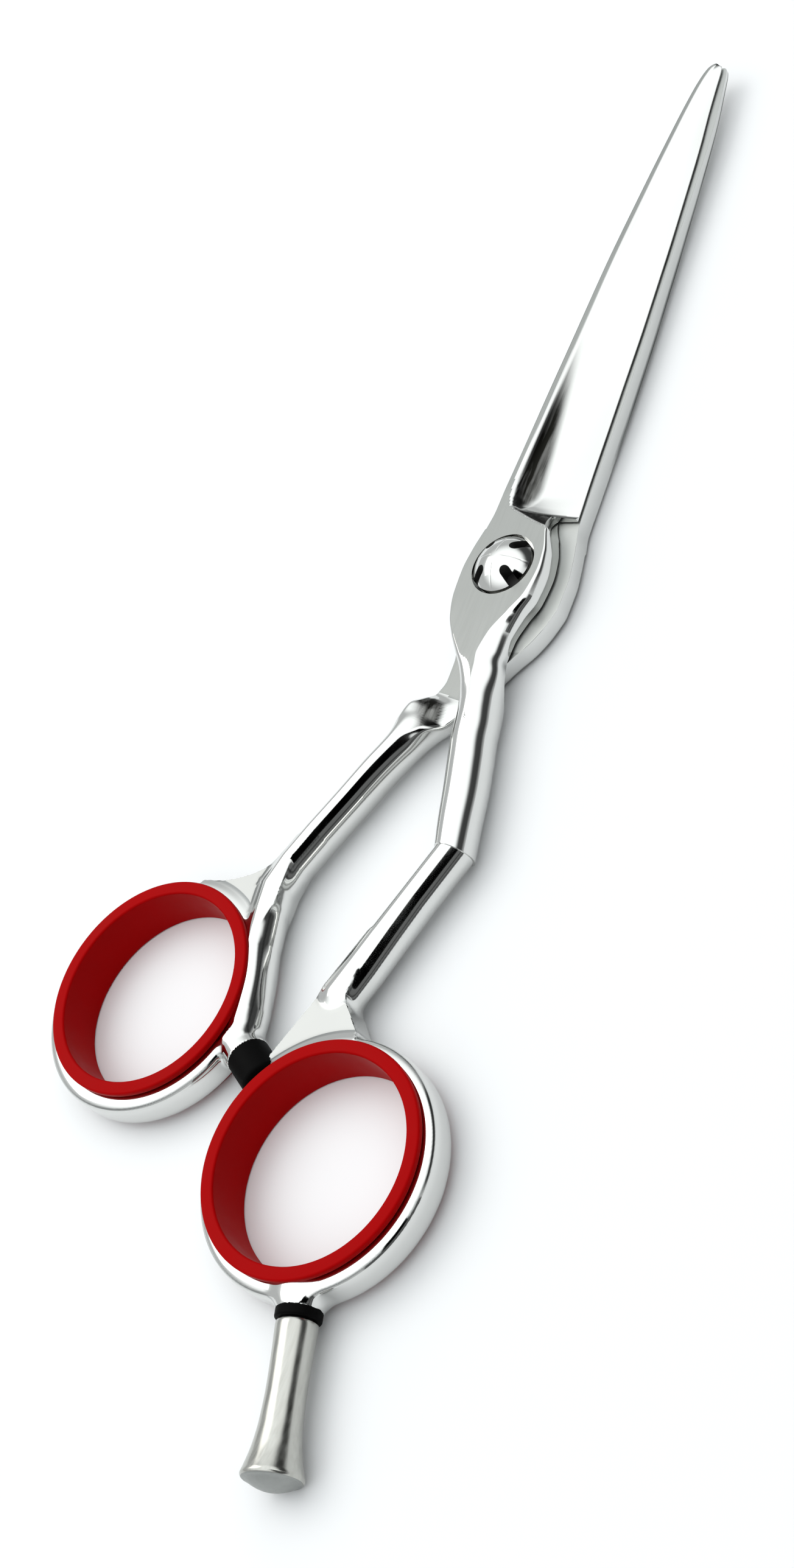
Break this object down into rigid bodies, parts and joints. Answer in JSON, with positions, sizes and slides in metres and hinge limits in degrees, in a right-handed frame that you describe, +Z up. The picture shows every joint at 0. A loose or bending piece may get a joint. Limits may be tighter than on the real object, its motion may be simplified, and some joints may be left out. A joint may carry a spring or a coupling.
{
  "type": "hair cutting shears",
  "caption": "Offset-handle hair shears: crossed polished steel halves on a domed pivot screw, rubber-lined finger rings, a rubber closing stop and a flared screw-in finger rest.",
  "frame": {"origin": "the pivot axis where it meets the surface that the closed shears lie on", "axes": "+Z up along the pivot axis out of the screw's head, +Y towards the tips of the closed blades, +X towards the finger ring side of the closed handles"},
  "size_m": [0.0554, 0.1676, 0.0074],
  "materials": {
    "polished_steel": "mirror polished stainless steel, satin on the flat round the pivot",
    "turned_steel": "turned",
    "bearing_bronze": "plain",
    "red_rubber": "smooth, slightly glossy",
    "black_rubber": "smooth, matte",
    "white_nylon": "smooth"
  },
  "bodies": {
    "finger_side": {"finger_half": "polished_steel", "finger_insert": "red_rubber", "finger_rest": "polished_steel", "finger_rest_washer": "black_rubber", "pivot_bush": "bearing_bronze"},
    "thumb_side": {"thumb_half": "polished_steel", "thumb_insert": "red_rubber", "bumper": "black_rubber", "pivot_nut": "turned_steel", "bearing_washer": "white_nylon"},
    "tension_screw": {"pivot_screw": "polished_steel", "head_washer": "white_nylon"}
  },
  "joints": [
    {"name": "blades_open", "type": "hinge", "parent": "finger_side", "child": "thumb_side", "pos_m": [0, 0, 0], "axis": [0, 0, -1], "range_deg": [0, 135]},
    {"name": "tension_turn", "type": "hinge", "parent": "thumb_side", "child": "tension_screw", "pos_m": [0, 0, 0], "axis": [0, 0, 1], "range_deg": [-90, 90]}
  ]
}
